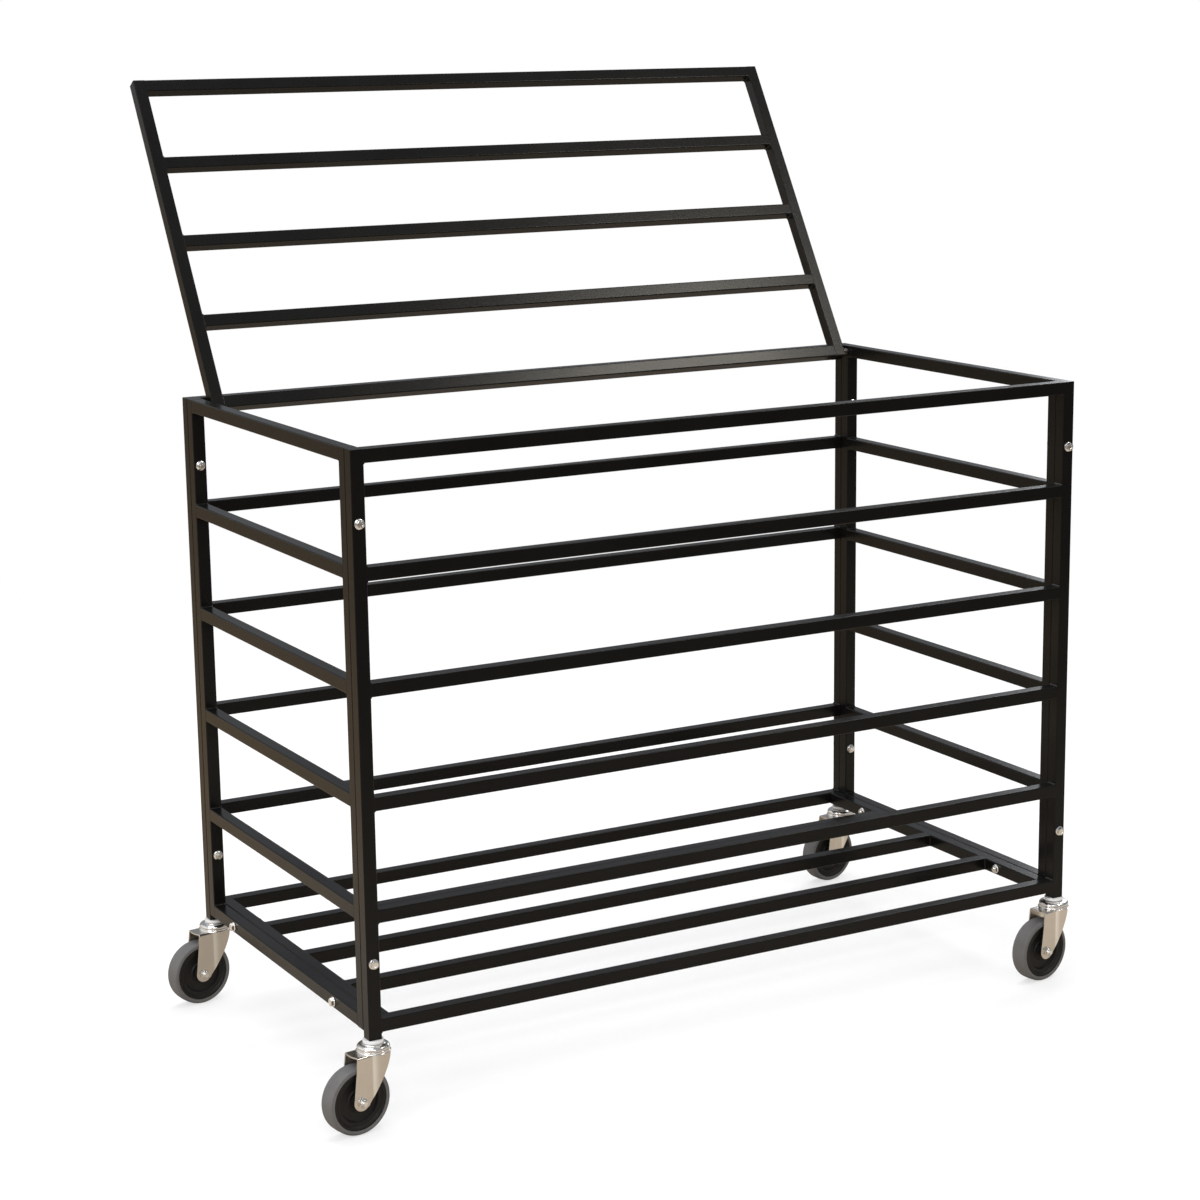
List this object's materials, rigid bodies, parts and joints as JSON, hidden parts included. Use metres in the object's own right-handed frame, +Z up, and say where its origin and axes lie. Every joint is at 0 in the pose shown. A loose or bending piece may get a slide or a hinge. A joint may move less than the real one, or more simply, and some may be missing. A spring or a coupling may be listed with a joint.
{
  "type": "ball cart",
  "caption": "Wheeled cage of welded square steel tube with a hinged tube lid, for holding and moving loose balls.",
  "frame": {"origin": "on the floor, below the middle of the cart's bounding box with the lid open and the casters as pictured", "axes": "+Z up, +X along the cart towards its right end, +Y towards the back, where the lid is hinged"},
  "size_m": [1.3222, 0.9154, 1.4552],
  "materials": {
    "black_painted_steel": "black powder coat, satin",
    "zinc_plated_steel": "bright zinc plating",
    "plated_steel": "bright plated pressed steel",
    "light_plastic": "pale moulded plastic",
    "black_plastic": "black moulded plastic",
    "grey_rubber": "mid grey rubber"
  },
  "bodies": {
    "cage": {"front_panel": "black_painted_steel", "back_panel": "black_painted_steel", "left_end_panel": "black_painted_steel", "right_end_panel": "black_painted_steel", "floor_frame": "black_painted_steel", "front_left_upper_bolt": "zinc_plated_steel", "front_left_upper_nut": "zinc_plated_steel", "front_left_lower_bolt": "zinc_plated_steel", "front_left_lower_nut": "zinc_plated_steel", "front_right_upper_bolt": "zinc_plated_steel", "front_right_upper_nut": "zinc_plated_steel", "front_right_lower_bolt": "zinc_plated_steel", "front_right_lower_nut": "zinc_plated_steel", "back_left_upper_bolt": "zinc_plated_steel", "back_left_upper_nut": "zinc_plated_steel", "back_left_lower_bolt": "zinc_plated_steel", "back_left_lower_nut": "zinc_plated_steel", "back_right_upper_bolt": "zinc_plated_steel", "back_right_upper_nut": "zinc_plated_steel", "back_right_lower_bolt": "zinc_plated_steel", "back_right_lower_nut": "zinc_plated_steel", "floor_left_front_bolt": "zinc_plated_steel", "floor_left_front_nut": "zinc_plated_steel", "floor_left_back_bolt": "zinc_plated_steel", "floor_left_back_nut": "zinc_plated_steel", "floor_right_front_bolt": "zinc_plated_steel", "floor_right_front_nut": "zinc_plated_steel", "floor_right_back_bolt": "zinc_plated_steel", "floor_right_back_nut": "zinc_plated_steel", "front_left_stem_socket": "light_plastic", "front_left_caster_stem": "plated_steel", "front_right_stem_socket": "light_plastic", "front_right_caster_stem": "plated_steel", "back_left_stem_socket": "light_plastic", "back_left_caster_stem": "plated_steel", "back_right_stem_socket": "light_plastic", "back_right_caster_stem": "plated_steel"},
    "lid": {"lid": "black_painted_steel", "lid_left_pivot_pin": "zinc_plated_steel", "lid_right_pivot_pin": "zinc_plated_steel"},
    "front_left_swivel": {"front_left_fork": "plated_steel", "front_left_axle_bolt": "zinc_plated_steel", "front_left_axle_nut": "zinc_plated_steel"},
    "front_left_wheel": {"front_left_wheel_hub": "black_plastic", "front_left_tyre": "grey_rubber"},
    "front_right_swivel": {"front_right_fork": "plated_steel", "front_right_axle_bolt": "zinc_plated_steel", "front_right_axle_nut": "zinc_plated_steel"},
    "front_right_wheel": {"front_right_wheel_hub": "black_plastic", "front_right_tyre": "grey_rubber"},
    "back_left_swivel": {"back_left_fork": "plated_steel", "back_left_axle_bolt": "zinc_plated_steel", "back_left_axle_nut": "zinc_plated_steel"},
    "back_left_wheel": {"back_left_wheel_hub": "black_plastic", "back_left_tyre": "grey_rubber"},
    "back_right_swivel": {"back_right_fork": "plated_steel", "back_right_axle_bolt": "zinc_plated_steel", "back_right_axle_nut": "zinc_plated_steel"},
    "back_right_wheel": {"back_right_wheel_hub": "black_plastic", "back_right_tyre": "grey_rubber"}
  },
  "joints": [
    {"name": "lid_hinge", "type": "hinge", "parent": "cage", "child": "lid", "pos_m": [0.02981, 0.16125, 0.9671], "axis": [1, 0, 0], "range_deg": [0, 120.8]},
    {"name": "front_left_swivel_turn", "type": "hinge", "parent": "cage", "child": "front_left_swivel", "pos_m": [-0.57769, -0.42649, 0.1174], "axis": [0, 0, 1], "continuous": true},
    {"name": "front_left_wheel_turn", "type": "hinge", "parent": "front_left_swivel", "child": "front_left_wheel", "pos_m": [-0.60934, -0.43122, 0.0508], "axis": [0.1478, -0.989, 0], "continuous": true},
    {"name": "front_right_swivel_turn", "type": "hinge", "parent": "cage", "child": "front_right_swivel", "pos_m": [0.63731, -0.42649, 0.1174], "axis": [0, 0, 1], "continuous": true},
    {"name": "front_right_wheel_turn", "type": "hinge", "parent": "front_right_swivel", "child": "front_right_wheel", "pos_m": [0.60566, -0.43122, 0.0508], "axis": [0.1478, -0.989, 0], "continuous": true},
    {"name": "back_left_swivel_turn", "type": "hinge", "parent": "cage", "child": "back_left_swivel", "pos_m": [-0.57769, 0.18851, 0.1174], "axis": [0, 0, 1], "continuous": true},
    {"name": "back_left_wheel_turn", "type": "hinge", "parent": "back_left_swivel", "child": "back_left_wheel", "pos_m": [-0.60934, 0.18378, 0.0508], "axis": [0.1478, -0.989, 0], "continuous": true},
    {"name": "back_right_swivel_turn", "type": "hinge", "parent": "cage", "child": "back_right_swivel", "pos_m": [0.63731, 0.18851, 0.1174], "axis": [0, 0, 1], "continuous": true},
    {"name": "back_right_wheel_turn", "type": "hinge", "parent": "back_right_swivel", "child": "back_right_wheel", "pos_m": [0.60566, 0.18378, 0.0508], "axis": [0.1478, -0.989, 0], "continuous": true}
  ]
}
